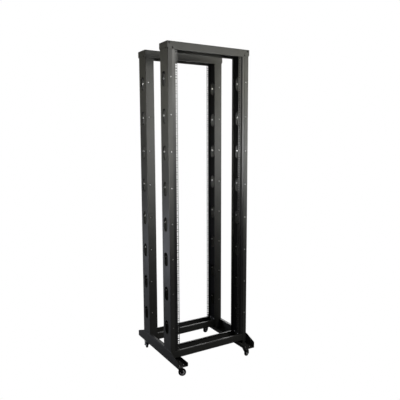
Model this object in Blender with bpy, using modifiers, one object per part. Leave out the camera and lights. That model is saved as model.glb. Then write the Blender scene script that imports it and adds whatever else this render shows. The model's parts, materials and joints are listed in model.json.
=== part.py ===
"""Open-frame four-post 19-inch equipment rack on casters, 42 rack units high.

Metres, +Z up. X is the width, the front is at -Y, and the origin is on the floor under the middle.
Two portal frames of folded steel sheet, front and rear, stand on two fore-and-aft feet.
Each post is an outer channel, a square-hole mounting rail and an inner side channel, screwed together.
"""

import math

import bmesh
import bpy
from mathutils import Matrix, Vector

# Driving dimensions.
RACK_UNIT = 0.04445
RACK_UNITS = 42
HOLE_COLUMN_SPACING = 0.4651
RAIL_OPENING = 0.450
HOLE_SIZE = 0.0095
HOLE_STEPS = (0.00635, 0.022225, 0.0381)  # hole centres above the bottom of each rack unit
POST_SPAN = 0.590  # across the outer faces of the posts
FRAME_DEPTH = 0.420  # from the front face of the front posts to the back face of the rear posts
POST_DEPTH = 0.103
FOOT_LENGTH = 0.600
CASTER_HEIGHT = 0.075
WHEEL_RADIUS = 0.025
GAP = 0.0003  # between neighbouring pieces

# Sheet thicknesses and folds.
POST_SHEET = 0.0015
RAIL_SHEET = 0.002
BEAM_SHEET = 0.002
BEND_RADIUS = 0.0028  # to the middle of the sheet
BEND_STEPS = 2

# Heights, from the casters up.
CROSS_BEAM_BOTTOM = CASTER_HEIGHT + 0.0233
CROSS_BEAM_TOP = CROSS_BEAM_BOTTOM + 0.0467
FIRST_UNIT_BOTTOM = CROSS_BEAM_TOP + 0.003
LAST_UNIT_TOP = FIRST_UNIT_BOTTOM + RACK_UNITS * RACK_UNIT
BEAM_FACE_BOTTOM = LAST_UNIT_TOP + 0.003
BEAM_FACE_HEIGHT = 0.047
OVERALL_HEIGHT = BEAM_FACE_BOTTOM + BEAM_FACE_HEIGHT
POST_TOP = OVERALL_HEIGHT - BEAM_SHEET - 0.0015  # clear of the top beam's inner bends

# Distances across the frame, as seen from its middle.
POST_X = POST_SPAN / 2
OUTER_Y = FRAME_DEPTH / 2
INNER_Y = OUTER_Y - POST_DEPTH
OUTER_FLANGE_EDGE_X = POST_X - 0.030
INNER_FLANGE_EDGE_X = POST_X - 0.059
RAIL_FACE_Y = OUTER_Y - 0.0115  # the hole flange stands back behind the post's face
RAIL_STEP_X = 0.2475
SIDE_CHANNEL_X = 0.2505

# Slots with round ends, in the post and in the side channel.
SLOT_WIDTH = 0.048
SLOT_HEIGHT = 0.090
SLOT_COUNT = 8
SLOT_PITCH = 5 * RACK_UNIT
SLOT_MIDDLE_Z = 1.074
SLOT_Y = 0.156
SLOT_ARC_STEPS = 4

# Feet.
FOOT_SHEET = 0.002
FOOT_X = POST_X + GAP + FOOT_SHEET / 2
FOOT_LIP_X = 0.222
FOOT_LIP_TOP = CROSS_BEAM_BOTTOM - GAP
FOOT_TOP = 0.150
FOOT_END_TOP = 0.115
FOOT_SLOPE_Y = 0.208
FOOT_TOP_LIP = 0.019

# Casters.
CASTER_X = 0.2585
CASTER_Y = 0.252
CASTER_TRAIL = 0.018
CASTER_PLATE_SIZE = (0.050, 0.070, 0.0025)
CASTER_TURN = {  # degrees that each swivel is turned at rest; 0 trails towards +X
    "front_left": -30,
    "front_right": 25,
    "rear_left": -105,
    "rear_right": -160,
}
FORK_INNER = 0.0115
FORK_SHEET = 0.002
CROWN_TOP = 0.0697
CROWN_RADIUS = 0.0215
AXLE_RADIUS = 0.0039
AXLE_HEAD_RADIUS = 0.0056
BOSS_RADIUS = 0.0068
HUB_RADIUS = 0.0147

# Fasteners that join the frame.
BOLT_RADIUS = 0.0035
BOLT_HEAD_RADIUS = 0.0065
HEX = 6  # sides of a bolt
TAB_BOLT_PLACES = (("outer", 0.182), ("inner", 0.137))
TAB_BOLT_Z = 0.143
BEAM_SCREW_X = 0.2845
BEAM_SCREW_Z = OVERALL_HEIGHT - 0.0115
FLANGE_END_X = BEAM_SCREW_X - BOLT_RADIUS - 2 * GAP  # hidden flanges end beside the beam's screw

SIDES = {"left": -1, "right": 1}
ENDS = {"front": -1, "rear": 1}


def clear_scene():
    for obj in list(bpy.data.objects):
        bpy.data.objects.remove(obj, do_unlink=True)


def new_collection(name):
    collection = bpy.data.collections.new(name)
    bpy.context.scene.collection.children.link(collection)
    return collection


clear_scene()
PARTS = new_collection("server_rack")
CUTTERS = new_collection("cutters")
CUTTERS.hide_render = True


# Materials.


def material(name, colour, roughness, metallic):
    made = bpy.data.materials.new(name)
    made.use_nodes = True
    shader = made.node_tree.nodes["Principled BSDF"]
    shader.inputs["Base Color"].default_value = (*colour, 1.0)
    shader.inputs["Roughness"].default_value = roughness
    shader.inputs["Metallic"].default_value = metallic
    return made


FRAME_PAINT = material("frame_powder_coat", (0.055, 0.056, 0.054), 0.55, 0.0)
INNER_PAINT = material("inner_powder_coat", (0.012, 0.012, 0.013), 0.6, 0.0)
ZINC = material("zinc_plated_steel", (0.62, 0.63, 0.65), 0.32, 1.0)
BLACK_OXIDE = material("black_oxide_steel", (0.02, 0.02, 0.022), 0.45, 0.6)
TYRE_RUBBER = material("tyre_rubber", (0.012, 0.012, 0.013), 0.75, 0.0)
HUB_PLASTIC = material("hub_plastic", (0.55, 0.56, 0.58), 0.45, 0.0)


# Shape tools.


def add_object(name, mesh, finish, collection=PARTS):
    obj = bpy.data.objects.new(name, mesh)
    collection.objects.link(obj)
    if finish:
        mesh.materials.append(finish)
    return obj


def hide_cutter(obj):
    obj.hide_render = True
    obj.display_type = "WIRE"


def shade_round(obj, angle=40):
    obj.data.shade_smooth()
    obj.data.set_sharp_from_angle(angle=math.radians(angle))


def arc(centre, radius, start, end, steps):
    """Points on an arc, angles in degrees, both ends included."""
    points = []
    for step in range(steps + 1):
        angle = math.radians(start + (end - start) * step / steps)
        points.append((centre[0] + radius * math.cos(angle), centre[1] + radius * math.sin(angle)))
    return points


def bent(corners):
    """An open path with each of its inner corners rounded to the sheet's bend radius."""
    path = [Vector(corners[0]).to_3d()]
    for before, corner, after in zip(corners, corners[1:], corners[2:]):
        corner = Vector(corner).to_3d()
        back = (Vector(before).to_3d() - corner).normalized()
        ahead = (Vector(after).to_3d() - corner).normalized()
        half_angle = back.angle(ahead) / 2
        reach = BEND_RADIUS / math.tan(half_angle)
        centre = corner + (back + ahead).normalized() * BEND_RADIUS / math.sin(half_angle)
        first = corner + back * reach - centre
        last = corner + ahead * reach - centre
        for step in range(BEND_STEPS + 1):
            spoke = first.slerp(last, step / BEND_STEPS).normalized()
            path.append(centre + spoke * BEND_RADIUS)
    path.append(Vector(corners[-1]).to_3d())
    return [(point.x, point.y) for point in path]


def folded_sheet(name, corners, low, high, axis, thickness, finish):
    """A folded sheet: a path drawn across the axis, swept along it from low to high."""
    place = {
        "X": lambda a, b, along: (along, a, b),
        "Y": lambda a, b, along: (a, along, b),
        "Z": lambda a, b, along: (a, b, along),
    }[axis]
    builder = bmesh.new()
    rows = []
    for a, b in bent(corners):
        rows.append((builder.verts.new(place(a, b, low)), builder.verts.new(place(a, b, high))))
    for first, second in zip(rows, rows[1:]):
        builder.faces.new((first[0], second[0], second[1], first[1]))
    mesh = bpy.data.meshes.new(name)
    builder.to_mesh(mesh)
    builder.free()
    obj = add_object(name, mesh, finish)
    solidify = obj.modifiers.new("sheet", "SOLIDIFY")
    solidify.thickness = thickness
    solidify.offset = 0.0
    solidify.use_even_offset = True
    shade_round(obj, 50)
    return obj


def flat_plates(name, outlines, thickness, plane, offset, finish, collection=PARTS):
    """Flat closed outlines made into plates. The outlines lie in the plane, offset along its normal."""
    curve = bpy.data.curves.new(name, "CURVE")
    curve.dimensions = "2D"
    curve.fill_mode = "BOTH"
    curve.extrude = thickness / 2
    for outline in outlines:
        spline = curve.splines.new("POLY")
        spline.points.add(len(outline) - 1)
        for point, (a, b) in zip(spline.points, outline):
            point.co = (a, b, 0.0, 1.0)
        spline.use_cyclic_u = True
    drawn = bpy.data.objects.new(name + "_outline", curve)
    CUTTERS.objects.link(drawn)
    columns = {
        "XY": ((1, 0, 0), (0, 1, 0), (0, 0, 1)),
        "XZ": ((1, 0, 0), (0, 0, 1), (0, -1, 0)),
        "YZ": ((0, 1, 0), (0, 0, 1), (1, 0, 0)),
    }[plane]
    turn = Matrix(columns).transposed().to_4x4()
    normal = {"XY": (0, 0, offset), "XZ": (0, offset, 0), "YZ": (offset, 0, 0)}[plane]
    bpy.context.view_layer.update()
    graph = bpy.context.evaluated_depsgraph_get()
    mesh = bpy.data.meshes.new_from_object(drawn.evaluated_get(graph))
    mesh.name = name
    mesh.transform(Matrix.Translation(normal) @ turn)
    bpy.data.objects.remove(drawn, do_unlink=True)
    builder = bmesh.new()
    builder.from_mesh(mesh)
    bmesh.ops.remove_doubles(builder, verts=builder.verts, dist=1e-6)
    bmesh.ops.recalc_face_normals(builder, faces=builder.faces)
    builder.to_mesh(mesh)
    builder.free()
    mesh.materials.clear()
    return add_object(name, mesh, finish, collection)


def box(name, low, high, finish, collection=PARTS):
    builder = bmesh.new()
    bmesh.ops.create_cube(builder, size=1.0)
    size = Vector(high) - Vector(low)
    bmesh.ops.scale(builder, vec=size, verts=builder.verts)
    bmesh.ops.translate(builder, vec=(Vector(high) + Vector(low)) / 2, verts=builder.verts)
    mesh = bpy.data.meshes.new(name)
    builder.to_mesh(mesh)
    builder.free()
    return add_object(name, mesh, finish, collection)


def spanning_box(name, x_pair, y_pair, z_pair, finish=None, collection=None):
    """A box between unordered pairs of coordinates."""
    low = [min(pair) for pair in (x_pair, y_pair, z_pair)]
    high = [max(pair) for pair in (x_pair, y_pair, z_pair)]
    return box(name, low, high, finish, collection or CUTTERS)


def rod(name, radius, low, high, axis, centre, steps=8, collection=None):
    """A round cutter or a round bar along an axis; centre is its place across that axis."""
    builder = bmesh.new()
    bmesh.ops.create_cone(
        builder, cap_ends=True, segments=steps, radius1=radius, radius2=radius, depth=high - low
    )
    middle = (high + low) / 2
    turn, place = {
        "X": (Matrix.Rotation(math.pi / 2, 4, "Y"), (middle, *centre)),
        "Y": (Matrix.Rotation(math.pi / 2, 4, "X"), (centre[0], middle, centre[1])),
        "Z": (Matrix.Identity(4), (*centre, middle)),
    }[axis]
    bmesh.ops.transform(builder, matrix=Matrix.Translation(place) @ turn, verts=builder.verts)
    mesh = bpy.data.meshes.new(name)
    builder.to_mesh(mesh)
    builder.free()
    return add_object(name, mesh, None, collection or CUTTERS)


def turned(name, profile, steps, finish, collection=PARTS):
    """A round solid about Z, from the (radius, height) points of half its section.

    A profile that starts and ends on the axis makes a solid, and any other one makes a ring.
    """
    builder = bmesh.new()
    verts = [builder.verts.new((radius, 0.0, height)) for radius, height in profile]
    is_ring = profile[0][0] > 0.0
    ends = verts[1:] + verts[:1] if is_ring else verts[1:]
    for first, second in zip(verts, ends):
        builder.edges.new((first, second))
    mesh = bpy.data.meshes.new(name)
    builder.to_mesh(mesh)
    builder.free()
    obj = add_object(name, mesh, finish, collection)
    screw = obj.modifiers.new("turn", "SCREW")
    screw.steps = steps
    screw.render_steps = steps
    screw.use_merge_vertices = True
    screw.merge_threshold = 0.00002
    screw.use_smooth_shade = True
    return obj


def boolean(obj, other, operation="DIFFERENCE"):
    modifier = obj.modifiers.new(other.name, "BOOLEAN")
    modifier.operation = operation
    modifier.solver = "EXACT"
    modifier.object = other
    hide_cutter(other)


def slot_outline(centre_y, centre_z):
    straight = (SLOT_HEIGHT - SLOT_WIDTH) / 2
    radius = SLOT_WIDTH / 2
    top = arc((centre_y, centre_z + straight), radius, 0, 180, SLOT_ARC_STEPS)
    bottom = arc((centre_y, centre_z - straight), radius, 180, 360, SLOT_ARC_STEPS)
    return top + bottom


def slot_heights():
    first = SLOT_MIDDLE_Z - SLOT_PITCH * (SLOT_COUNT - 1) / 2
    return [first + SLOT_PITCH * index for index in range(SLOT_COUNT)]


def hole_heights():
    heights = []
    for unit in range(RACK_UNITS):
        for step in HOLE_STEPS:
            heights.append(FIRST_UNIT_BOTTOM + unit * RACK_UNIT + step)
    return heights


def cut_slots(obj, side, end, x):
    outlines = [slot_outline(end * SLOT_Y, height) for height in slot_heights()]
    cutter = flat_plates(obj.name + "_slots", outlines, 0.010, "YZ", side * x, None, CUTTERS)
    boolean(obj, cutter)


# The posts.


def outer_channel(where, side, end):
    """The post's outer C-channel, open towards the middle of the rack."""
    web = POST_X - POST_SHEET / 2
    outer = OUTER_Y - POST_SHEET / 2
    inner = INNER_Y + POST_SHEET / 2
    corners = (
        (side * OUTER_FLANGE_EDGE_X, end * outer),
        (side * web, end * outer),
        (side * web, end * inner),
        (side * INNER_FLANGE_EDGE_X, end * inner),
    )
    bottom = CASTER_HEIGHT + FOOT_SHEET + BEND_RADIUS  # clear of the foot's lower bend
    obj = folded_sheet(f"post_{where}", corners, bottom, POST_TOP, "Z", POST_SHEET, FRAME_PAINT)
    cut_slots(obj, side, end, web)
    hole = rod(
        f"post_{where}_beam_screw_hole",
        BOLT_RADIUS + GAP,
        end * OUTER_Y - 0.010,
        end * OUTER_Y + 0.010,
        "Y",
        (side * BEAM_SCREW_X, BEAM_SCREW_Z),
    )
    boolean(obj, hole)


def mounting_rail(where, side, end):
    """A Z-section: the square-hole flange, a step forward, and a flange screwed behind the post's face."""
    hole_flange = RAIL_FACE_Y - RAIL_SHEET / 2
    screw_flange = OUTER_Y - POST_SHEET - GAP - RAIL_SHEET / 2
    corners = (
        (side * RAIL_OPENING / 2, end * hole_flange),
        (side * RAIL_STEP_X, end * hole_flange),
        (side * RAIL_STEP_X, end * screw_flange),
        (side * FLANGE_END_X, end * screw_flange),
    )
    bottom = CROSS_BEAM_TOP + 0.001
    obj = folded_sheet(
        f"mounting_rail_{where}", corners, bottom, POST_TOP, "Z", RAIL_SHEET, FRAME_PAINT
    )
    centre = side * HOLE_COLUMN_SPACING / 2
    half = HOLE_SIZE / 2
    squares = []
    for height in hole_heights():
        squares.append(
            (
                (centre - half, height - half),
                (centre + half, height - half),
                (centre + half, height + half),
                (centre - half, height + half),
            )
        )
    cutter = flat_plates(
        obj.name + "_holes", squares, 0.006, "XZ", end * hole_flange, None, CUTTERS
    )
    boolean(obj, cutter)


def side_channel(where, side, end):
    """The channel that closes the post towards the rack's middle. Its lower end stands in the cross beam."""
    outer = OUTER_Y - POST_SHEET - RAIL_SHEET - 2 * GAP - POST_SHEET / 2
    inner = INNER_Y + POST_SHEET + GAP + POST_SHEET / 2
    web = SIDE_CHANNEL_X
    corners = (
        (side * FLANGE_END_X, end * outer),
        (side * web, end * outer),
        (side * web, end * inner),
        (side * FLANGE_END_X, end * inner),
    )
    bottom = CROSS_BEAM_BOTTOM + BEAM_SHEET + BEND_RADIUS  # clear of the beam's lower bends
    obj = folded_sheet(
        f"side_channel_{where}", corners, bottom, POST_TOP, "Z", POST_SHEET, INNER_PAINT
    )
    cut_slots(obj, side, end, web)
    notch = spanning_box(
        obj.name + "_notch",
        (side * 0.235, side * 0.290),
        (end * (INNER_Y - 0.005), end * (INNER_Y + 0.0065)),
        (bottom - 0.005, CROSS_BEAM_TOP + 0.001),
    )
    boolean(obj, notch)
    for _, bolt_y in TAB_BOLT_PLACES:
        hole = rod(
            f"{obj.name}_bolt_hole",
            BOLT_RADIUS + GAP,
            side * web - 0.005,
            side * web + 0.005,
            "X",
            (end * bolt_y, TAB_BOLT_Z),
        )
        boolean(obj, hole)


# The beams.

TOP_BEAM_X = POST_X + 0.0045
TOP_BEAM_CORNER = 0.020
TOP_BEAM_WRAP = GAP + BEAM_SHEET


def top_beam(where, end):
    """An upside-down tray that caps both posts. Its lower corners are rounded up to short end walls."""
    outer = OUTER_Y + TOP_BEAM_WRAP
    inner = INNER_Y - TOP_BEAM_WRAP
    tray = spanning_box(
        f"top_beam_{where}",
        (-TOP_BEAM_X, TOP_BEAM_X),
        (end * inner, end * outer),
        (BEAM_FACE_BOTTOM, OVERALL_HEIGHT),
        FRAME_PAINT,
        PARTS,
    )
    builder = bmesh.new()
    builder.from_mesh(tray.data)
    floor = [face for face in builder.faces if face.normal.z < -0.5]
    bmesh.ops.delete(builder, geom=floor, context="FACES_ONLY")
    folds = [edge for edge in builder.edges if not edge.is_boundary]
    bmesh.ops.bevel(
        builder, geom=folds, offset=BEND_RADIUS, segments=BEND_STEPS, profile=0.5, affect="EDGES"
    )
    builder.to_mesh(tray.data)
    builder.free()
    sheet = tray.modifiers.new("sheet", "SOLIDIFY")
    sheet.thickness = BEAM_SHEET
    sheet.offset = -1.0
    sheet.use_even_offset = True
    shade_round(tray, 50)
    for name, side in SIDES.items():
        turn_x = TOP_BEAM_X - TOP_BEAM_CORNER
        turn_z = BEAM_FACE_BOTTOM + TOP_BEAM_CORNER
        beyond = 0.005
        corner = arc((turn_x, turn_z), TOP_BEAM_CORNER, -90, 0, 6)
        outline = [(side * x, z) for x, z in corner]
        outline.append((side * (TOP_BEAM_X + beyond), turn_z))
        outline.append((side * (TOP_BEAM_X + beyond), BEAM_FACE_BOTTOM - beyond))
        outline.append((side * turn_x, BEAM_FACE_BOTTOM - beyond))
        cutter = flat_plates(
            f"{tray.name}_{name}_corner",
            [outline],
            POST_DEPTH + 0.040,
            "XZ",
            end * (OUTER_Y + INNER_Y) / 2,
            None,
            CUTTERS,
        )
        boolean(tray, cutter)
        hole = rod(
            f"{tray.name}_{name}_screw_hole",
            BOLT_RADIUS + GAP,
            end * outer - 0.004,
            end * outer + 0.004,
            "Y",
            (side * BEAM_SCREW_X, BEAM_SCREW_Z),
        )
        boolean(tray, hole)


TAB_X = SIDE_CHANNEL_X - POST_SHEET / 2 - GAP  # the face of the tab that meets the side channel
TAB_TOP = 0.151


def cross_beam(where, end):
    """A lipped channel, open upwards, that lies inside the posts on the feet. A tab at each end is bolted."""
    outer = OUTER_Y - POST_SHEET - GAP - BEAM_SHEET / 2
    inner = INNER_Y + 2 * POST_SHEET + 2 * GAP + BEAM_SHEET / 2
    base = CROSS_BEAM_BOTTOM + BEAM_SHEET / 2
    top = CROSS_BEAM_TOP - BEAM_SHEET / 2
    lip = 0.013
    corners = (
        (end * (outer - lip), top),
        (end * outer, top),
        (end * outer, base),
        (end * inner, base),
        (end * inner, top),
        (end * (inner + lip), top),
    )
    reach = POST_X - POST_SHEET - GAP - BEND_RADIUS  # stops short of the posts' inner bends
    obj = folded_sheet(
        f"cross_beam_{where}", corners, -reach, reach, "X", BEAM_SHEET, FRAME_PAINT
    )
    for name, side in SIDES.items():
        notch = spanning_box(
            f"{obj.name}_{name}_lip_notch",
            (side * (TAB_X - BEAM_SHEET - GAP), side * 0.300),
            (end * (inner + BEAM_SHEET / 2), end * (outer - BEAM_SHEET / 2)),
            (top - BEND_RADIUS - BEAM_SHEET, CROSS_BEAM_TOP + 0.002),
        )
        boolean(obj, notch)
        tab = spanning_box(
            f"{obj.name}_{name}_tab",
            (side * (TAB_X - BEAM_SHEET), side * TAB_X),
            (end * 0.124, end * 0.1955),
            (base, TAB_TOP),
        )
        boolean(obj, tab, "UNION")
        for _, bolt_y in TAB_BOLT_PLACES:
            hole = rod(
                f"{obj.name}_{name}_bolt_hole",
                BOLT_RADIUS + GAP,
                side * TAB_X - 0.006,
                side * TAB_X + 0.006,
                "X",
                (end * bolt_y, TAB_BOLT_Z),
            )
            boolean(obj, hole)


def side_foot(name, side):
    """A folded foot: outer web, bottom flange and upturned inner lip, with a top lip between the posts."""
    base = CASTER_HEIGHT + FOOT_SHEET / 2
    half = FOOT_LENGTH / 2
    corners = (
        (side * FOOT_LIP_X, FOOT_LIP_TOP),
        (side * FOOT_LIP_X, base),
        (side * FOOT_X, base),
        (side * FOOT_X, FOOT_TOP - FOOT_SHEET / 2),
        (side * (FOOT_X - FOOT_TOP_LIP), FOOT_TOP - FOOT_SHEET / 2),
    )
    obj = folded_sheet(f"side_foot_{name}", corners, -half, half, "Y", FOOT_SHEET, FRAME_PAINT)
    above = FOOT_TOP + 0.010
    beyond = half + 0.010
    for end_name, end in ENDS.items():
        slope = [
            (end * FOOT_SLOPE_Y, above),
            (end * FOOT_SLOPE_Y, FOOT_TOP),
            (end * half, FOOT_END_TOP),
            (end * beyond, FOOT_END_TOP),
            (end * beyond, above),
        ]
        wedge = flat_plates(
            f"{obj.name}_{end_name}_slope", [slope], 0.060, "YZ", side * POST_X, None, CUTTERS
        )
        boolean(obj, wedge)
        post_room = spanning_box(
            f"{obj.name}_{end_name}_post_room",
            (side * 0.230, side * (FOOT_X - FOOT_SHEET / 2)),
            (end * (INNER_Y - GAP), end * (OUTER_Y + 0.001)),
            (FOOT_TOP - 0.012, above),
        )
        boolean(obj, post_room)


# The fasteners of the frame.


def bolt_profile(head_height, length):
    """The head lies above z = 0 and the shank below it."""
    return (
        (0.0, head_height),
        (BOLT_HEAD_RADIUS, head_height),
        (BOLT_HEAD_RADIUS, 0.0),
        (BOLT_RADIUS, 0.0),
        (BOLT_RADIUS, -length),
        (0.0, -length),
    )


def frame_bolts():
    for end_name, end in ENDS.items():
        for side_name, side in SIDES.items():
            for place, bolt_y in TAB_BOLT_PLACES:
                bolt = turned(
                    f"tab_bolt_{end_name}_{side_name}_{place}",
                    bolt_profile(0.004, 0.009),
                    HEX,
                    ZINC,
                )
                face = TAB_X - BEAM_SHEET - GAP
                bolt.location = (side * face, end * bolt_y, TAB_BOLT_Z)
                bolt.rotation_euler = (0.0, -side * math.pi / 2, 0.0)
            screw = turned(
                f"beam_screw_{end_name}_{side_name}",
                bolt_profile(0.0028, 0.0048),
                HEX,
                BLACK_OXIDE,
            )
            screw.location = (
                side * BEAM_SCREW_X,
                end * (OUTER_Y + TOP_BEAM_WRAP + GAP),
                BEAM_SCREW_Z,
            )
            screw.rotation_euler = (-end * math.pi / 2, 0.0, 0.0)


# The casters.


def caster_plate(where, swivel):
    """The top plate with the fixed half of the ball race pressed out below it."""
    width, length, thick = CASTER_PLATE_SIZE
    corner = 0.006
    outline = []
    for index, (sx, sy) in enumerate(((1, 1), (-1, 1), (-1, -1), (1, -1))):
        centre = (sx * (width / 2 - corner), sy * (length / 2 - corner))
        outline += arc(centre, corner, 90 * index, 90 * index + 90, 2)
    top = CASTER_HEIGHT - GAP
    obj = flat_plates(f"caster_plate_{where}", [outline], thick, "XY", top - thick / 2, ZINC)
    race_top = top - thick / 2
    race = turned(
        f"{obj.name}_race",
        (
            (0.0195, race_top),
            (0.0190, CROWN_TOP + GAP),
            (0.0080, CROWN_TOP + GAP),
            (0.0080, race_top),
        ),
        14,
        None,
        CUTTERS,
    )
    boolean(obj, race, "UNION")
    bore = rod(f"{obj.name}_bore", 0.0066, 0.060, 0.085, "Z", (0.0, 0.0), 12)
    boolean(obj, bore)
    obj.location = (swivel.location.x, swivel.location.y, 0.0)
    for helper in (race, bore):
        helper.location = obj.location


def kingpin(where, swivel):
    """The swivel's pin: a flat head in the plate, a shank through the race, and a closed end below the crown."""
    head_top = CASTER_HEIGHT - GAP - 0.0002
    profile = (
        (0.0, head_top),
        (0.0060, head_top),
        (0.0045, CROWN_TOP + GAP),
        (0.0045, 0.0660),
        (0.0085, 0.0660),
        (0.0060, 0.0605),
        (0.0, 0.0605),
    )
    obj = turned(f"caster_kingpin_{where}", profile, 8, ZINC)
    obj.location = (swivel.location.x, swivel.location.y, 0.0)


def fork_leg_outline():
    """One leg seen from its side, along the trail and up."""
    axle = (CASTER_TRAIL, WHEEL_RADIUS)
    boss = arc(axle, BOSS_RADIUS, 15, -165, 4)
    return [(-0.0165, 0.0685), (0.0165, 0.0685), (0.0205, 0.0600)] + boss + [(-0.0165, 0.0600)]


def caster_fork(where, swivel):
    """The crown with a rolled skirt, and two legs that carry the axle behind the swivel axis."""
    crown = turned(
        f"caster_fork_{where}",
        (
            (CROWN_RADIUS, CROWN_TOP),
            (CROWN_RADIUS, CROWN_TOP - 0.0065),
            (CROWN_RADIUS - 0.002, CROWN_TOP - 0.0065),
            (CROWN_RADIUS - 0.002, CROWN_TOP - 0.0025),
            (0.0055, CROWN_TOP - 0.0025),
            (0.0055, CROWN_TOP),
        ),
        16,
        BLACK_OXIDE,
    )
    crown.parent = swivel
    helpers = []
    for sign in (-1, 1):
        leg = flat_plates(
            f"{crown.name}_leg_{sign}",
            [fork_leg_outline()],
            FORK_SHEET,
            "XZ",
            sign * (FORK_INNER + FORK_SHEET / 2),
            None,
            CUTTERS,
        )
        boolean(crown, leg, "UNION")
        helpers.append(leg)
    axle_hole = rod(
        f"{crown.name}_axle_hole",
        AXLE_RADIUS + 2 * GAP,
        -0.020,
        0.020,
        "Y",
        (CASTER_TRAIL, WHEEL_RADIUS),
    )
    boolean(crown, axle_hole)
    helpers.append(axle_hole)
    for helper in helpers:
        helper.parent = swivel


def wheel_pieces(where, swivel):
    """Tyre, hub and axle bolt, each turned about its own Z and laid along the axle."""
    tyre = turned(
        f"caster_tyre_{where}",
        (
            (HUB_RADIUS + GAP, 0.0070),
            (0.0225, 0.0070),
            (WHEEL_RADIUS, 0.0045),
            (WHEEL_RADIUS, -0.0045),
            (0.0225, -0.0070),
            (HUB_RADIUS + GAP, -0.0070),
        ),
        20,
        TYRE_RUBBER,
    )
    hub = turned(
        f"caster_hub_{where}",
        (
            (HUB_RADIUS, 0.0085),
            (HUB_RADIUS, -0.0085),
            (0.0125, -0.0100),
            (AXLE_RADIUS + GAP, -0.0107),
            (AXLE_RADIUS + GAP, 0.0107),
            (0.0125, 0.0100),
        ),
        18,
        HUB_PLASTIC,
    )
    leg_face = FORK_INNER + FORK_SHEET + GAP
    axle = turned(
        f"caster_axle_{where}",
        (
            (0.0, leg_face + 0.0035),
            (AXLE_HEAD_RADIUS, leg_face + 0.0035),
            (AXLE_HEAD_RADIUS, leg_face),
            (AXLE_RADIUS, leg_face),
            (AXLE_RADIUS, -leg_face),
            (AXLE_HEAD_RADIUS, -leg_face),
            (AXLE_HEAD_RADIUS, -leg_face - 0.0035),
            (0.0, -leg_face - 0.0035),
        ),
        HEX,
        BLACK_OXIDE,
    )
    for obj in (tyre, hub, axle):
        obj.parent = swivel
        obj.location = (CASTER_TRAIL, 0.0, WHEEL_RADIUS)
        obj.rotation_euler = (math.pi / 2, 0.0, 0.0)


def caster(where, side, end):
    swivel = bpy.data.objects.new(f"swivel_{where}", None)
    PARTS.objects.link(swivel)
    swivel.location = (side * CASTER_X, end * CASTER_Y, 0.0)
    swivel.rotation_euler = (0.0, 0.0, math.radians(CASTER_TURN[where]))
    caster_plate(where, swivel)
    kingpin(where, swivel)
    caster_fork(where, swivel)
    wheel_pieces(where, swivel)


def build():
    for end_name, end in ENDS.items():
        top_beam(end_name, end)
        cross_beam(end_name, end)
        for side_name, side in SIDES.items():
            where = f"{end_name}_{side_name}"
            outer_channel(where, side, end)
            mounting_rail(where, side, end)
            side_channel(where, side, end)
            caster(where, side, end)
    for side_name, side in SIDES.items():
        side_foot(side_name, side)
    frame_bolts()


build()
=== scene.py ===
"""Looks of the open-frame four-post equipment rack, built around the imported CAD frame.

Metres, +Z up, front at -Y. CAD nodes that carry fine detail are replaced by finer pieces of the same size.
"""

import json
import math

import bmesh
import bpy
from mathutils import Matrix, Vector

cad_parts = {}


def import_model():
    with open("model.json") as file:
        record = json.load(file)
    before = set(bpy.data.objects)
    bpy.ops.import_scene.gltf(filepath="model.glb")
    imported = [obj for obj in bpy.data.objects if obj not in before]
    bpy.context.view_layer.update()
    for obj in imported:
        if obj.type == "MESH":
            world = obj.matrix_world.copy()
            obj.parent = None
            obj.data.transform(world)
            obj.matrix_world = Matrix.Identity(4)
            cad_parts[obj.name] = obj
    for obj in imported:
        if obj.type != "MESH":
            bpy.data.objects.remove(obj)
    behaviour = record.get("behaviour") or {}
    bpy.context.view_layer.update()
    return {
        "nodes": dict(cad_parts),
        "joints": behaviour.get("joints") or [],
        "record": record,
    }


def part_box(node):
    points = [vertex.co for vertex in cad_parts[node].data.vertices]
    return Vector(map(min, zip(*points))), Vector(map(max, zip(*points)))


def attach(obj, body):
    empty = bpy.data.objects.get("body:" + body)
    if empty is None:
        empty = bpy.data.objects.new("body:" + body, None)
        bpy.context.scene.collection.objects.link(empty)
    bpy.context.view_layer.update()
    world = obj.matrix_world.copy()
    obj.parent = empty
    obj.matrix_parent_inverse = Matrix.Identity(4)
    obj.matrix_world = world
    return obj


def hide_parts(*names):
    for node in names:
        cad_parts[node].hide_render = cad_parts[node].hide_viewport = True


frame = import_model()

# Dimensions taken from the frame.
POST_LOW, POST_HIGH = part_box("post_rear_right")
POST_X = POST_HIGH.x
OUTER_Y = POST_HIGH.y
INNER_Y = POST_LOW.y
INNER_FLANGE_EDGE_X = POST_LOW.x
CHANNEL_LOW, CHANNEL_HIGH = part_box("side_channel_rear_right")
TOP_BEAM_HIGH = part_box("top_beam_rear")[1]
CROSS_BEAM_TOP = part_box("cross_beam_rear")[1].z - 0.006  # below the tabs

# Dimensions of the details, as the CAD source has them.
RACK_UNIT = 0.04445
POST_SHEET = 0.0015
RAIL_SHEET = 0.002
GAP = 0.0003
BEND_RADIUS = 0.0028
BEND_STEPS = 6
OUTER_FLANGE_EDGE_X = POST_X - 0.030
SLOT_WIDTH = 0.048
SLOT_HEIGHT = 0.090
SLOT_PITCH = 5 * RACK_UNIT
SLOT_Y = 0.156
SLOT_ARC_STEPS = 20
SLOT_HEIGHTS = [1.074 + SLOT_PITCH * (index - 3.5) for index in range(8)]
SLOT_CUTTER_REACH = 0.004
NOTCH_X = (0.235, 0.290)
NOTCH_DEPTH = 0.0066
NOTCH_MARGIN = 0.005

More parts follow.
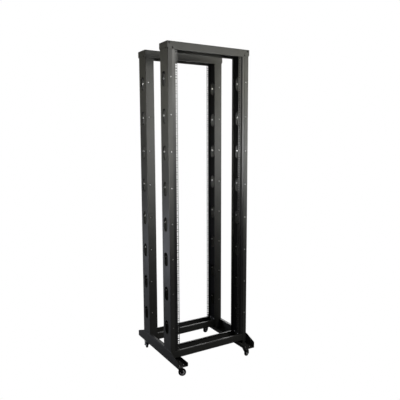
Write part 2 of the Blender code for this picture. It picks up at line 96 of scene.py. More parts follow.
# Places of the screws that the CAD leaves out.
FLANGE_SCREW_X = 0.275
FLANGE_SCREW_HEIGHTS = [1.8584 - SLOT_PITCH * index for index in range(8)]
OUTER_STACK = 2 * POST_SHEET + RAIL_SHEET + 2 * GAP  # sheets under a screw on the outer flange
INNER_STACK = 2 * POST_SHEET + GAP
LOWER_BEAM_SCREW = (0.262, TOP_BEAM_HIGH.z - 0.0375)  # X and Z
WEB_SCREW_FROM_FRONT = 0.027
WEB_SCREW_Z = TOP_BEAM_HIGH.z - 0.036

# Sizes of the fasteners' heads, as radius and height.
FLANGE_SCREW_HEAD = (0.0038, 0.0022)
BEAM_SCREW_HEAD = (0.0058, 0.0026)
LOWER_SCREW_HEAD = (0.0050, 0.0024)
SCREW_PAST_STACK = 0.0062  # how far a flange screw reaches behind the sheets
TAB_BOLT_LENGTH = 0.009

SMOOTH_ANGLE = 32

SIDES = {"left": -1, "right": 1}
ENDS = {"front": -1, "rear": 1}
CORNERS = [
    (f"{end_name}_{side_name}", side, end)
    for end_name, end in ENDS.items()
    for side_name, side in SIDES.items()
]


# Materials.


class Nodes:
    """A short way to write a material's node tree."""

    def __init__(self, name):
        self.material = bpy.data.materials.new(name)
        self.material.use_nodes = True
        self.tree = self.material.node_tree
        self.shader = self.tree.nodes["Principled BSDF"]
        self.place = self.add("ShaderNodeTexCoord").outputs["Object"]

    def add(self, kind, **settings):
        node = self.tree.nodes.new(kind)
        for key, value in settings.items():
            setattr(node, key, value)
        return node

    def link(self, source, target):
        self.tree.links.new(source, target)

    def noise(self, scale, detail=2.0, roughness=0.5, stretch=None):
        """Noise between 0 and 1 over object space, optionally stretched by axis."""
        node = self.add("ShaderNodeTexNoise")
        node.inputs["Scale"].default_value = scale
        node.inputs["Detail"].default_value = detail
        node.inputs["Roughness"].default_value = roughness
        place = self.place
        if stretch:
            mapping = self.add("ShaderNodeMapping")
            mapping.inputs["Scale"].default_value = stretch
            self.link(place, mapping.inputs["Vector"])
            place = mapping.outputs["Vector"]
        self.link(place, node.inputs["Vector"])
        return node.outputs["Fac"]

    def ramp(self, source, low, high, at=(0.0, 1.0)):
        """Maps a value to a range of values or colours."""
        node = self.add("ShaderNodeValToRGB")
        for element, value, position in zip(node.color_ramp.elements, (low, high), at):
            colour = value if isinstance(value, tuple) else (value, value, value)
            element.color = (*colour, 1.0)
            element.position = position
        self.link(source, node.inputs["Fac"])
        return node.outputs["Color"]

    def mix(self, share, first, second):
        """Mixes two colours by a share between 0 and 1."""
        node = self.add("ShaderNodeMix", data_type="RGBA")
        for socket, value in ((node.inputs[6], first), (node.inputs[7], second)):
            if isinstance(value, tuple):
                socket.default_value = (*value, 1.0)
            else:
                self.link(value, socket)
        self.link(share, node.inputs[0])
        return node.outputs[2]

    def bump(self, layers):
        """Stacked bumps, each a (height, distance, strength)."""
        normal = None
        for height, distance, strength in layers:
            node = self.add("ShaderNodeBump")
            node.inputs["Distance"].default_value = distance
            node.inputs["Strength"].default_value = strength
            self.link(height, node.inputs["Height"])
            if normal:
                self.link(normal, node.inputs["Normal"])
            normal = node.outputs["Normal"]
        self.link(normal, self.shader.inputs["Normal"])

    def edge_wear(self, radius, low, high):
        """A share that rises on edges, from the angle between the true and the rounded normal."""
        rounded = self.add("ShaderNodeBevel", samples=4)
        rounded.inputs["Radius"].default_value = radius
        geometry = self.add("ShaderNodeNewGeometry")
        dot = self.add("ShaderNodeVectorMath", operation="DOT_PRODUCT")
        self.link(rounded.outputs["Normal"], dot.inputs[0])
        self.link(geometry.outputs["Normal"], dot.inputs[1])
        return self.ramp(dot.outputs["Value"], 1.0, 0.0, (low, high))

    def set(self, **values):
        for key, value in values.items():
            socket = self.shader.inputs[key.replace("_", " ")]
            if isinstance(value, (int, float)):
                socket.default_value = value
            elif isinstance(value, tuple):
                socket.default_value = (*value, 1.0)
            else:
                self.link(value, socket)


def powder_coat(name, dark, light, roughness, specular):
    """Fine-texture powder coat: a grain under a millimetre, slow cloudiness and faintly polished edges."""
    nodes = Nodes(name)
    grain = nodes.noise(1500.0, 2.0, 0.6)
    mottle = nodes.noise(9.0, 4.0, 0.55)
    colour = nodes.ramp(mottle, dark, light, (0.3, 0.7))
    speck = nodes.ramp(grain, 0.0, 1.0, (0.55, 0.8))
    colour = nodes.mix(speck, colour, tuple(1.5 * part for part in light))
    worn = nodes.edge_wear(0.0012, 0.86, 0.97)
    colour = nodes.mix(worn, colour, tuple(1.9 * part for part in light))
    nodes.set(
        Base_Color=colour,
        Roughness=nodes.ramp(mottle, roughness - 0.05, roughness + 0.06, (0.25, 0.75)),
        Specular_IOR_Level=specular,
    )
    nodes.bump([(grain, 0.00025, 0.5), (nodes.noise(420.0, 2.0), 0.0004, 0.2)])
    return nodes.material


def zinc_plate():
    """Bright zinc plate with a faint blue passivation and fine turning marks."""
    nodes = Nodes("zinc_plate")
    cloud = nodes.noise(140.0, 3.0)
    marks = nodes.noise(900.0, 2.0, 0.6, (1.0, 1.0, 6.0))
    nodes.set(
        Base_Color=nodes.ramp(cloud, (0.46, 0.47, 0.50), (0.60, 0.60, 0.59), (0.3, 0.7)),
        Metallic=1.0,
        Roughness=nodes.ramp(marks, 0.22, 0.42, (0.3, 0.7)),
    )
    nodes.bump([(marks, 0.0001, 0.25)])
    return nodes.material


def black_oxide():
    """Oiled black oxide on screws, forks and axles."""
    nodes = Nodes("black_oxide")
    cloud = nodes.noise(200.0, 3.0)
    worn = nodes.edge_wear(0.0005, 0.85, 0.97)
    base = nodes.ramp(cloud, (0.012, 0.012, 0.013), (0.03, 0.029, 0.028), (0.3, 0.7))
    nodes.set(
        Base_Color=nodes.mix(worn, base, (0.10, 0.10, 0.10)),
        Metallic=0.7,
        Roughness=nodes.ramp(cloud, 0.34, 0.5, (0.3, 0.7)),
    )
    nodes.bump([(nodes.noise(1200.0), 0.0001, 0.3)])
    return nodes.material


def tyre_rubber():
    """Black rubber, dusty where it runs on the floor."""
    nodes = Nodes("tyre_rubber")
    dust = nodes.noise(90.0, 5.0, 0.6)
    nodes.set(
        Base_Color=nodes.ramp(dust, (0.008, 0.008, 0.009), (0.032, 0.031, 0.030), (0.4, 0.8)),
        Roughness=nodes.ramp(dust, 0.55, 0.85, (0.3, 0.8)),
        Specular_IOR_Level=0.35,
    )
    nodes.bump([(nodes.noise(1800.0), 0.0002, 0.4)])
    return nodes.material


def hub_plastic():
    """Light grey moulded nylon with a fine eroded texture."""
    nodes = Nodes("hub_plastic")
    cloud = nodes.noise(60.0, 3.0)
    nodes.set(
        Base_Color=nodes.ramp(cloud, (0.78, 0.79, 0.80), (0.86, 0.87, 0.88), (0.3, 0.7)),
        Roughness=0.42,
        Subsurface_Weight=0.03,
    )
    nodes.bump([(nodes.noise(2200.0), 0.0001, 0.3)])
    return nodes.material


FRAME_PAINT = powder_coat(
    "frame_powder_coat", (0.034, 0.0345, 0.034), (0.040, 0.0405, 0.039), 0.5, 0.45
)
# A darker, glossier copy of the frame's coat for the rails: it paints the shade on their step walls and
# between their holes.
RAIL_SHADE_PAINT = powder_coat(
    "rail_shade_powder_coat", (0.009, 0.009, 0.0095), (0.012, 0.012, 0.0125), 0.4, 0.6
)
# A near-black copy of the coat for the side channels' faces towards the bay: it paints the shade that
# falls inside the bay.
BAY_SHADE_PAINT = powder_coat(
    "inner_powder_coat", (0.0035, 0.0035, 0.004), (0.005, 0.005, 0.0055), 0.7, 0.12
)
ZINC = zinc_plate()
BLACK_OXIDE = black_oxide()
TYRE_RUBBER = tyre_rubber()
HUB_PLASTIC = hub_plastic()
BY_SLOT = {
    "frame_paint": FRAME_PAINT,
    "inner_paint": BAY_SHADE_PAINT,
    "zinc_steel": ZINC,
    "black_steel": BLACK_OXIDE,
    "tyre": TYRE_RUBBER,
    "hub_plastic": HUB_PLASTIC,
}


def dress_frame():
    """Gives every CAD node the material of its slot. The rails get a darker, glossier copy of the frame's
    coat, which paints the shade on their step walls and between their holes.
    """
    for part in frame["record"]["subparts"]:
        node = part["node"]
        is_rail = node.startswith("mounting_rail")
        finish = RAIL_SHADE_PAINT if is_rail else BY_SLOT[part["material_slot"]]
        mesh = frame["nodes"][node].data
        mesh.materials.clear()
        mesh.materials.append(finish)


# Shape tools.


def mesh_of(name, builder):
    """Turns a bmesh into a mesh with its faces facing out."""
    mesh = bpy.data.meshes.new(name)
    bmesh.ops.recalc_face_normals(builder, faces=builder.faces)
    builder.to_mesh(mesh)
    builder.free()
    return mesh


def add_piece(name, mesh, finishes, body="frame", stands_for=()):
    """A piece of the object: it takes its materials and rides on a body."""
    for finish in finishes:
        mesh.materials.append(finish)
    obj = bpy.data.objects.new(name, mesh)
    bpy.context.scene.collection.objects.link(obj)
    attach(obj, body)
    if stands_for:
        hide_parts(*stands_for)
    obj.data.shade_smooth()
    obj.data.set_sharp_from_angle(angle=math.radians(SMOOTH_ANGLE))
    flat_faces = obj.modifiers.new("flat_faces", "WEIGHTED_NORMAL")
    flat_faces.weight = 100
    flat_faces.keep_sharp = True
    return obj


def arc(centre, radius, start, end, steps):
    """Points on an arc, angles in degrees, both ends included."""
    points = []
    for step in range(steps + 1):
        angle = math.radians(start + (end - start) * step / steps)
        points.append((centre[0] + radius * math.cos(angle), centre[1] + radius * math.sin(angle)))
    return points


def bent(corners):
    """An open path with each of its inner corners rounded to the sheet's bend."""
    path = [Vector(corners[0]).to_3d()]
    for before, corner, after in zip(corners, corners[1:], corners[2:]):
        corner = Vector(corner).to_3d()
        back = (Vector(before).to_3d() - corner).normalized()
        ahead = (Vector(after).to_3d() - corner).normalized()
        half_angle = back.angle(ahead) / 2
        centre = corner + (back + ahead).normalized() * BEND_RADIUS / math.sin(half_angle)
        reach = BEND_RADIUS / math.tan(half_angle)
        first = corner + back * reach - centre
        last = corner + ahead * reach - centre
        for step in range(BEND_STEPS + 1):
            spoke = first.slerp(last, step / BEND_STEPS).normalized()
            path.append(centre + spoke * BEND_RADIUS)
    path.append(Vector(corners[-1]).to_3d())
    return [point.to_2d() for point in path]


def folded_mesh(name, corners, low, high, thickness):
    """A folded sheet along Z with round bends, as a closed mesh."""
    path = bent(corners)
    builder = bmesh.new()
    rows = []
    for index, point in enumerate(path):
        ahead = (path[min(index + 1, len(path) - 1)] - path[max(index - 1, 0)]).normalized()
        aside = Vector((-ahead.y, ahead.x)) * thickness / 2
        spots = [(*(point + aside), low), (*(point - aside), low)]
        spots += [(*(point - aside), high), (*(point + aside), high)]
        rows.append([builder.verts.new(spot) for spot in spots])
    for first, second in zip(rows, rows[1:]):
        for a in range(4):
            b = (a + 1) % 4
            builder.faces.new((first[a], first[b], second[b], second[a]))
    builder.faces.new(rows[0])
    builder.faces.new(rows[-1])
    return mesh_of(name, builder)


PLACE = {
    "X": lambda a, b, along: (along, a, b),
    "Y": lambda a, b, along: (a, along, b),
    "Z": lambda a, b, along: (a, b, along),
}


def prism_mesh(name, outline, axis, low, high, rounding=0.0):
    """A closed outline carried along an axis from low to high. Rounding softens its long edges."""
    place = PLACE[axis]
    builder = bmesh.new()
    near = [builder.verts.new(place(a, b, low)) for a, b in outline]
    far = [builder.verts.new(place(a, b, high)) for a, b in outline]
    rims = [builder.faces.new(near), builder.faces.new(far)]
    for index, vert in enumerate(near):
        following = (index + 1) % len(near)
        builder.faces.new((vert, near[following], far[following], far[index]))
    if rounding:
        edges = [edge for rim in rims for edge in rim.edges]
        bmesh.ops.bevel(builder, geom=edges, offset=rounding, segments=2, profile=0.5, affect="EDGES")
    return mesh_of(name, builder)


def turned_mesh(name, profile, steps=48):
    """A round solid about Z from (radius, height) points. It ends on the axis or closes as a ring.

    A point with a third item is on a hexagon, and its radius is the distance to the flats.
    """
    builder = bmesh.new()
    rings = []
    for radius, height, *is_hex in profile:
        if radius < 1e-7:
            rings.append([builder.verts.new((0.0, 0.0, height))])
            continue
        ring = []
        for step in range(steps):
            angle = 2 * math.pi * step / steps
            flats = math.cos((angle + math.pi / 6) % (math.pi / 3) - math.pi / 6)
            reach = radius / flats if is_hex else radius
            ring.append(builder.verts.new((reach * math.cos(angle), reach * math.sin(angle), height)))
        rings.append(ring)
    pairs = list(zip(rings, rings[1:]))
    if len(rings[0]) > 1:
        pairs.append((rings[-1], rings[0]))
    for first, second in pairs:
        for step in range(steps):
            corners = [first[step % len(first)], first[(step + 1) % len(first)]]
            corners += [second[(step + 1) % len(second)], second[step % len(second)]]
            builder.faces.new(list(dict.fromkeys(corners)))
    return mesh_of(name, builder)


def joined_mesh(name, parts):
    """One mesh of several (mesh, matrix) parts."""
    builder = bmesh.new()
    for mesh, matrix in parts:
        start = len(builder.verts)
        builder.from_mesh(mesh)
        builder.verts.ensure_lookup_table()
        bmesh.ops.transform(builder, matrix=matrix, verts=builder.verts[start:])
    return mesh_of(name, builder)


def pointing(place, direction):
    """The matrix that moves a piece to a place and turns its +Z to a direction."""
    turn = Vector(direction).to_track_quat("Z", "Y").to_matrix().to_4x4()
    return Matrix.Translation(Vector(place)) @ turn


def combined(mesh, others, operation="DIFFERENCE"):
    """The mesh after an exact Boolean with each of the others."""
    helpers = []
    for item in [mesh] + others:
        helper = bpy.data.objects.new("boolean_helper", item)
        bpy.context.scene.collection.objects.link(helper)
        helpers.append(helper)
    for other in helpers[1:]:
        modifier = helpers[0].modifiers.new("boolean", "BOOLEAN")
        modifier.operation = operation
        modifier.solver = "EXACT"
        modifier.object = other
    graph = bpy.context.evaluated_depsgraph_get()
    made = bpy.data.meshes.new_from_object(helpers[0].evaluated_get(graph))
    made.name = mesh.name
    for helper in helpers:
        bpy.data.objects.remove(helper)
    return made


# Posts and side channels.


def slots_mesh(end, x):
    """All the slots of a post as one cutter."""
    straight = (SLOT_HEIGHT - SLOT_WIDTH) / 2
    outline = arc((end * SLOT_Y, straight), SLOT_WIDTH / 2, 0, 180, SLOT_ARC_STEPS)
    outline += arc((end * SLOT_Y, -straight), SLOT_WIDTH / 2, 180, 360, SLOT_ARC_STEPS)
    slot = prism_mesh("slot", outline, "X", x - SLOT_CUTTER_REACH, x + SLOT_CUTTER_REACH)
    places = [(slot, Matrix.Translation((0, 0, height))) for height in SLOT_HEIGHTS]
    return joined_mesh("slots", places)


def fine_post(where, side, end):
    web = POST_X - POST_SHEET / 2
    outer = OUTER_Y - POST_SHEET / 2
    inner = INNER_Y + POST_SHEET / 2
    corners = (
        (side * OUTER_FLANGE_EDGE_X, end * outer),
        (side * web, end * outer),
        (side * web, end * inner),
        (side * INNER_FLANGE_EDGE_X, end * inner),
    )
    node = f"post_{where}"
    low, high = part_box(node)
    sheet = folded_mesh(f"fine_{node}", corners, low.z, high.z, POST_SHEET)
    mesh = combined(sheet, [slots_mesh(end, side * web)])
    add_piece(f"fine_{node}", mesh, [FRAME_PAINT], stands_for=[node])


def fine_side_channel(where, side, end):
    """Near-black on the face towards the equipment, which paints the shade inside the bay. Its flanges
    inside the post have the frame's coat.

    Its lower end is notched where it stands in the cross beam.
    """
    web = CHANNEL_LOW.x + POST_SHEET / 2
    outer = CHANNEL_HIGH.y - POST_SHEET / 2
    inner = CHANNEL_LOW.y + POST_SHEET / 2
    corners = (
        (side * CHANNEL_HIGH.x, end * outer),
        (side * web, end * outer),
        (side * web, end * inner),
        (side * CHANNEL_HIGH.x, end * inner),
    )
    node = f"side_channel_{where}"
    low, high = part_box(node)
    sheet = folded_mesh(f"fine_{node}", corners, low.z, high.z, POST_SHEET)
    near, far = end * (INNER_Y - NOTCH_MARGIN), end * (INNER_Y + NOTCH_DEPTH)
    bay, outside = (side * x for x in NOTCH_X)
    corner = [(bay, near), (outside, near), (outside, far), (bay, far)]
    notch = prism_mesh("notch", corner, "Z", low.z - NOTCH_MARGIN, CROSS_BEAM_TOP + 0.001)
    mesh = combined(sheet, [slots_mesh(end, side * web), notch])
    # Faces towards the bay get the near-black coat, which paints the shade inside the bay.
    for face in mesh.polygons:
        painted_shade_face = -side * face.normal.x > 0.3 and abs(face.center.x) < web
        face.material_index = int(painted_shade_face)
    finishes = [FRAME_PAINT, BAY_SHADE_PAINT]
    add_piece(f"fine_{node}", mesh, finishes, stands_for=[node])


# Fasteners. Each is made about Z, with its seat at z = 0 and its head above.


def hex_bolt_mesh(shank, length):
    """A hex bolt with a flange under its head."""
    return turned_mesh(
        "hex_bolt",
        (
            (0.0, 0.0038),
            (0.0036, 0.0038),
            (0.0040, 0.0035, True),
            (0.0040, 0.0014, True),
            (0.0050, 0.0012),
            (0.0064, 0.0007),
            (0.0065, 0.0),
            (shank, 0.0),
            (shank, 0.0005 - length),
            (shank - 0.0006, -length),
            (0.0, -length),
        ),
    )


def button_screw_mesh(size, length):
    """A domed screw with a hex socket, from its head's radius and height."""
    head, height = size
    shank = 0.0024
    return turned_mesh(
        "button_screw",
        (
            (0.0, height - 0.0012),
            (0.0016, height - 0.0012, True),
            (0.0016, height, True),
            (0.45 * head, 0.98 * height),
            (0.72 * head, 0.80 * height),
            (0.92 * head, 0.45 * height),
            (head, 0.12 * height),
            (head, 0.0),
            (shank, 0.0),
            (shank, 0.0005 - length),
            (shank - 0.0005, -length),
            (0.0, -length),
        ),
        24,
    )


def nut_mesh(seat):
    """A flanged hex nut that hangs below its seat."""
    return turned_mesh(
        "nut",
        (
            (0.0025, seat),
            (0.0058, seat),
            (0.0058, seat - 0.0008),
            (0.0040, seat - 0.0012, True),
            (0.0040, seat - 0.0036, True),
            (0.0037, seat - 0.0040),
            (0.0025, seat - 0.0040),
        ),
        24,
    )


def flange_screws(where, side, end):
    """Zinc screws with nuts along both flanges of a post, a slot's pitch apart."""
    rows = {"outer": (OUTER_Y, end, OUTER_STACK), "inner": (INNER_Y, -end, INNER_STACK)}
    for row, (y, facing, stack) in rows.items():
        screw = button_screw_mesh(FLANGE_SCREW_HEAD, stack + SCREW_PAST_STACK)
        fastener = joined_mesh(
            "screw_and_nut", [(screw, Matrix.Identity(4)), (nut_mesh(-stack), Matrix.Identity(4))]
        )
        places = []
        for height in FLANGE_SCREW_HEIGHTS:
            seat = (side * FLANGE_SCREW_X, end * y, height)
            places.append((fastener, pointing(seat, (0, facing, 0))))
        name = f"flange_screws_{where}_{row}"
        add_piece(name, joined_mesh(name, places), [ZINC])


def fine_tab_bolts(where, side):
    """Hex bolts through the cross beam's end tabs."""
    for place in ("outer", "inner"):
        node = f"tab_bolt_{where}_{place}"
        low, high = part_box(node)
        middle = (low + high) / 2
        seat_x = max(abs(low.x), abs(high.x)) - TAB_BOLT_LENGTH
        mesh = hex_bolt_mesh(0.0034, TAB_BOLT_LENGTH)
        mesh.transform(pointing((side * seat_x, middle.y, middle.z), (-side, 0, 0)))
        add_piece(f"fine_{node}", mesh, [ZINC], stands_for=[node])


def dark_screws(where, side, end):
    """Black screws on the top beam's face, and one on the post's web under the beam's end."""
    node = f"beam_screw_{where}"
    centre = sum(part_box(node), Vector()) / 2
    face = end * TOP_BEAM_HIGH.y
    mesh = button_screw_mesh(BEAM_SCREW_HEAD, 0.0045)
    mesh.transform(pointing((centre.x, face, centre.z), (0, end, 0)))
    add_piece(f"fine_{node}", mesh, [BLACK_OXIDE], stands_for=[node])
    x, z = LOWER_BEAM_SCREW
    web_seat = (side * POST_X, web_screw_y(side, end), WEB_SCREW_Z)
    places = {
        f"lower_beam_screw_{where}": pointing((side * x, face, z), (0, end, 0)),
        f"web_screw_{where}": pointing(web_seat, (side, 0, 0)),
    }
    for name, matrix in places.items():
        mesh = button_screw_mesh(LOWER_SCREW_HEAD, 0.0060)
        mesh.transform(matrix)
        add_piece(name, mesh, [BLACK_OXIDE])


def web_screw_y(side, end):
    """The two portals are alike and stand back to back, so left and right change places."""
    depth = OUTER_Y - INNER_Y
    inset = WEB_SCREW_FROM_FRONT if side == end else depth - WEB_SCREW_FROM_FRONT
    return end * (OUTER_Y - inset)


# Casters. Each is drawn with its trail along +X and its swivel axis on Z, and then turned and moved.

WHEEL_RADIUS = 0.025
HUB_RADIUS = 0.0147
FORK_INNER = 0.0115
FORK_SHEET = 0.002
CROWN_TOP = 0.0697
CROWN_RADIUS = 0.0215
BOSS_RADIUS = 0.0068
PLATE_BOLT_SPACING = (0.033, 0.053)
PLATE_SHEET = 0.0025
NUT_RISE = 0.0026  # from the plate's top to the nuts on the foot
EDGE_ROUNDING = 0.0004
PIN_RADIUS = 0.0045
RIBS = 5
RIB_SHARE = 0.16


def caster_frame(where):
    """The matrix of a caster and the length of its trail, from the record's joints."""
    joints = {joint["name"]: joint for joint in frame["joints"]}
    swivel = Vector(joints[f"swivel_turn_{where}"]["pos_m"])
    wheel = Vector(joints[f"wheel_spin_{where}"]["pos_m"])
    trail = (wheel - swivel).to_2d()
    turn = Matrix.Rotation(math.atan2(trail.y, trail.x), 4, "Z")
    return Matrix.Translation((swivel.x, swivel.y, 0.0)) @ turn, trail.length


def rounded_rectangle(width, length, radius, steps=6):
    outline = []
    for index, (sx, sy) in enumerate(((1, 1), (-1, 1), (-1, -1), (1, -1))):
        centre = (sx * (width / 2 - radius), sy * (length / 2 - radius))
        outline += arc(centre, radius, 90 * index, 90 * index + 90, steps)
    return outline


def caster_plate(where, square):
    """The top plate with its pressed ball race, and the nuts and bolts that hold it."""
    node = f"caster_plate_{where}"
    low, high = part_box(node)
    width, length = (high - low).to_2d()
    under = high.z - PLATE_SHEET
    outline = rounded_rectangle(width, length, 0.006)
    plate = prism_mesh("plate", outline, "Z", under, high.z, EDGE_ROUNDING)
    race = turned_mesh(
        "race",
        (
            (0.0205, high.z - PLATE_SHEET / 2),
            (0.0203, under - 0.0004),
            (0.0195, CROWN_TOP + 0.0008),
            (0.0188, low.z),
            (0.0082, low.z),
            (0.0078, high.z - PLATE_SHEET / 2),
        ),
    )
    mesh = joined_mesh(f"fine_{node}", [(combined(plate, [race], "UNION"), square)])
    add_piece(f"fine_{node}", mesh, [ZINC], stands_for=[node])
    nut_seat = high.z + NUT_RISE
    fastener = joined_mesh(
        "plate_bolt",
        [
            (hex_bolt_mesh(0.0030, 0.0142), pointing((0, 0, under), (0, 0, -1))),
            (nut_mesh(0.0), pointing((0, 0, nut_seat), (0, 0, -1))),
        ],
    )
    places = []
    for sx in (-0.5, 0.5):
        for sy in (-0.5, 0.5):
            spot = Matrix.Translation((sx * PLATE_BOLT_SPACING[0], sy * PLATE_BOLT_SPACING[1], 0))
            places.append((fastener, square @ spot))
    name = f"plate_bolts_{where}"
    add_piece(name, joined_mesh(name, places), [ZINC])


def kingpin(where, square):
    node = f"caster_kingpin_{where}"
    low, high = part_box(node)
    profile = (
        (0.0, high.z - 0.0006),
        (0.0052, high.z),
        (0.0060, high.z - 0.0004),
        (PIN_RADIUS, CROWN_TOP + GAP),
        (PIN_RADIUS, 0.0660),
        (0.0080, 0.0660),
        (0.0085, 0.0652),
        (0.0078, 0.0628),
        (0.0062, 0.0610),
        (PIN_RADIUS, low.z),
        (0.0, low.z),
    )
    mesh = turned_mesh(f"fine_{node}", profile)
    mesh.transform(square)
    add_piece(f"fine_{node}", mesh, [ZINC], stands_for=[node])


def fork(where, turned, trail):
    """A pressed fork: a crown with a rolled rim, and two legs with a boss at the axle."""
    crown = turned_mesh(
        "crown",
        (
            (0.0056, CROWN_TOP),
            (0.0165, CROWN_TOP),
            (0.0175, CROWN_TOP - 0.0009),
            (0.0190, CROWN_TOP - 0.0009),
            (0.0200, CROWN_TOP),
            (0.0209, CROWN_TOP - 0.0004),
            (CROWN_RADIUS, CROWN_TOP - 0.0016),
            (CROWN_RADIUS, CROWN_TOP - 0.0065),
            (CROWN_RADIUS - 0.002, CROWN_TOP - 0.0065),
            (CROWN_RADIUS - 0.002, CROWN_TOP - 0.0027),
            (0.0056, CROWN_TOP - 0.0027),
        ),
    )
    boss = arc((trail, WHEEL_RADIUS), BOSS_RADIUS, 15, -165, 16)
    front = [(0.0165, 0.0685), (0.0190, 0.0650), (0.0205, 0.0600)]
    rear = [(-0.0160, 0.0590), (-0.0168, 0.0640), (-0.0165, 0.0685)]
    legs = []
    for sign in (-1, 1):
        edge_a = sign * FORK_INNER
        edge_b = sign * (FORK_INNER + FORK_SHEET)
        low, high = min(edge_a, edge_b), max(edge_a, edge_b)
        legs.append(prism_mesh("leg", front + boss + rear, "Y", low, high, EDGE_ROUNDING))
    mesh = combined(crown, legs, "UNION")
    node = f"caster_fork_{where}"
    mesh.name = f"fine_{node}"
    mesh.transform(turned)
    body = f"swivel_{where}"
    add_piece(f"fine_{node}", mesh, [BLACK_OXIDE], body, [node])


def ribbed_hub_mesh(steps=120):
    """A moulded hub: a raised rim, a dished web crossed by ribs, and a raised boss round the axle."""
    bore, boss, rim = 0.0042, 0.0066, 0.0118
    levels = (
        (bore, 0.0107, 0.0107),
        (boss - 0.0004, 0.0107, 0.0107),
        (boss, 0.0103, 0.0103),
        (boss + 0.0004, 0.0076, 0.0094),
        (rim - 0.0004, 0.0076, 0.0094),
        (rim, 0.0096, 0.0096),
        (rim + 0.0004, 0.0100, 0.0100),
        (HUB_RADIUS - 0.0012, 0.0093, 0.0093),
        (HUB_RADIUS, 0.0085, 0.0085),
    )
    builder = bmesh.new()
    rings = []
    for face, order in ((1, levels), (-1, levels[::-1])):
        for radius, plain, ribbed in order:
            ring = []
            for step in range(steps):
                angle = 2 * math.pi * step / steps
                phase = (RIBS * step / steps) % 1.0
                height = ribbed if phase < RIB_SHARE else plain
                spot = (radius * math.cos(angle), radius * math.sin(angle), face * height)
                ring.append(builder.verts.new(spot))
            rings.append(ring)
    for first, second in zip(rings, rings[1:] + rings[:1]):
        for step in range(steps):
            after = (step + 1) % steps
            builder.faces.new((first[step], first[after], second[after], second[step]))
    return mesh_of("hub", builder)


def wheel(where, turned, trail):
    """Tyre and hub on the wheel's body, and the axle bolt on the swivel's."""
    centre = Matrix.Translation((trail, 0, WHEEL_RADIUS))
    across = turned @ centre @ Matrix.Rotation(math.pi / 2, 4, "X")
    tread = (
        (HUB_RADIUS + GAP, 0.0064),
        (HUB_RADIUS + 0.0010, 0.0070),
        (0.0215, 0.0070),
        (0.0230, 0.0064),
        (0.0242, 0.0052),
        (0.0248, 0.0036),
        (WHEEL_RADIUS, 0.0018),
    )
    tread += tuple((radius, -height) for radius, height in reversed(tread))
    head = FORK_INNER + FORK_SHEET + GAP
    half_axle = (
        (0.0, head + 0.0030),
        (0.0040, head + 0.0030),
        (0.0048, head + 0.0026, True),
        (0.0048, head + 0.0006, True),
        (0.0056, head + 0.0004),
        (0.0056, head),
        (0.0039, head),
    )
    mirrored = tuple((radius, -height, *rest) for radius, height, *rest in reversed(half_axle))
    axle = turned_mesh("axle", half_axle + mirrored)
    pieces = (
        ("caster_tyre", turned_mesh("tyre", tread, 96), TYRE_RUBBER, "tyre", "wheel"),
        ("caster_hub", ribbed_hub_mesh(), HUB_PLASTIC, "hub_plastic", "wheel"),
        ("caster_axle", axle, BLACK_OXIDE, "black_steel", "swivel"),
    )
    for kind, mesh, finish, slot, body in pieces:
        node = f"{kind}_{where}"
        mesh.name = f"fine_{node}"
        mesh.transform(across)
        add_piece(f"fine_{node}", mesh, [finish], f"{body}_{where}", [node])


def caster(where):
    turned, trail = caster_frame(where)
    square = Matrix.Translation(turned.translation)
    caster_plate(where, square)
    kingpin(where, square)
    fork(where, turned, trail)
    wheel(where, turned, trail)


dress_frame()
for where, side, end in CORNERS:
    fine_post(where, side, end)
    fine_side_channel(where, side, end)
    flange_screws(where, side, end)
    fine_tab_bolts(where, side)
    dark_screws(where, side, end)
    caster(where)


# Stage, light and camera.

CAMERA_PLACE = (-1.5735, -2.7230, 1.4697)
CAMERA_YAW = 30.777
CAMERA_DOWN = 7.035
CAMERA_ROLL = -0.19
CAMERA_LENS = 41.85
AMBIENT = 0.04
LIGHT_TARGET_TOP = 1.95
FLOOR_GREY = 0.28
FLOOR_HALF = 30.0
NEUTRAL = (1.0, 1.0, 1.0)
SOFT_WARM = (1.0, 0.99, 0.94)
WARM = (1.0, 0.97, 0.80)
COOL = (0.94, 0.97, 1.10)


def stage_material():
    """White to the camera, and a dim grey to the light that falls on the rack."""
    nodes = Nodes("studio_floor")
    seen = nodes.add("ShaderNodeLightPath").outputs["Is Camera Ray"]
    white = nodes.add("ShaderNodeEmission")
    white.inputs["Color"].default_value = (1.0, 1.0, 1.0, 1.0)
    white.inputs["Strength"].default_value = 1.0
    nodes.set(Base_Color=(FLOOR_GREY,) * 3, Roughness=0.9, Specular_IOR_Level=0.1)
    mixed = nodes.add("ShaderNodeMixShader")
    nodes.link(seen, mixed.inputs["Fac"])
    nodes.link(nodes.shader.outputs["BSDF"], mixed.inputs[1])
    nodes.link(white.outputs["Emission"], mixed.inputs[2])
    nodes.link(mixed.outputs["Shader"], nodes.tree.nodes["Material Output"].inputs["Surface"])
    return nodes.material


def floor():
    builder = bmesh.new()
    bmesh.ops.create_grid(builder, x_segments=1, y_segments=1, size=FLOOR_HALF)
    mesh = bpy.data.meshes.new("floor")
    builder.to_mesh(mesh)
    builder.free()
    mesh.materials.append(stage_material())
    obj = bpy.data.objects.new("floor", mesh)
    bpy.context.scene.collection.objects.link(obj)


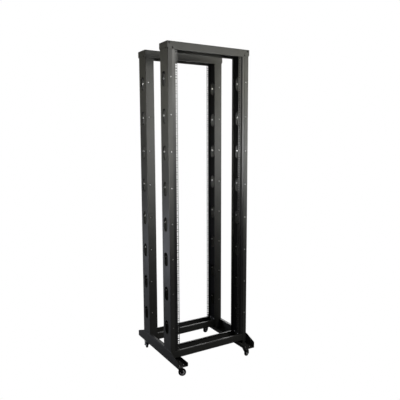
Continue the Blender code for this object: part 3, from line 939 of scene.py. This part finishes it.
def world():
    made = bpy.data.worlds.new("studio")
    made.use_nodes = True
    tree = made.node_tree
    background = tree.nodes["Background"]
    background.inputs["Color"].default_value = (1.0, 1.0, 1.0, 1.0)
    path = tree.nodes.new("ShaderNodeLightPath")
    mix = tree.nodes.new("ShaderNodeMix")
    mix.inputs[2].default_value = AMBIENT
    mix.inputs[3].default_value = 1.0
    tree.links.new(path.outputs["Is Camera Ray"], mix.inputs[0])
    tree.links.new(mix.outputs[0], background.inputs["Strength"])
    bpy.context.scene.world = made


def softbox(name, azimuth, distance, height, size, spread, watts, colour):
    """A square light on a circle round the rack. Azimuth 0 is in front, and 90 on the right."""
    light = bpy.data.lights.new(name, "AREA")
    light.shape = "SQUARE"
    light.size = size
    light.spread = math.radians(spread)
    light.energy = watts
    light.color = colour
    obj = bpy.data.objects.new(name, light)
    angle = math.radians(azimuth)
    place = Vector((distance * math.sin(angle), -distance * math.cos(angle), height))
    target = Vector((0.0, 0.0, min(height, LIGHT_TARGET_TOP)))
    obj.location = place
    obj.rotation_euler = (target - place).to_track_quat("-Z", "Y").to_euler()
    bpy.context.scene.collection.objects.link(obj)


def camera():
    data = bpy.data.cameras.new("camera")
    data.lens = CAMERA_LENS
    obj = bpy.data.objects.new("camera", data)
    obj.location = CAMERA_PLACE
    turn = Matrix.Rotation(math.radians(-CAMERA_YAW), 4, "Z")
    turn = turn @ Matrix.Rotation(math.radians(90 - CAMERA_DOWN), 4, "X")
    turn = turn @ Matrix.Rotation(math.radians(CAMERA_ROLL), 4, "Z")
    obj.rotation_euler = turn.to_euler()
    bpy.context.scene.collection.objects.link(obj)
    bpy.context.scene.camera = obj


floor()
world()
softbox("front_key", 15, 2.2, 2.2, 0.7, 180, 24.0, SOFT_WARM)
softbox("right_high", 50, 1.3, 2.0, 0.5, 180, 4.3, WARM)
softbox("left_high", -120, 1.3, 2.0, 0.5, 180, 2.5, WARM)
softbox("left_low", -120, 1.3, 0.6, 0.5, 180, 4.6, COOL)
softbox("front_left_middle", -45, 1.5, 1.4, 0.5, 60, 3.2, SOFT_WARM)
softbox("front_right_middle", 40, 1.5, 1.4, 0.5, 60, 1.1, NEUTRAL)
softbox("rear_right", 140, 2.2, 1.5, 1.0, 180, 30.0, NEUTRAL)
camera()
bpy.context.scene.view_settings.view_transform = "Standard"
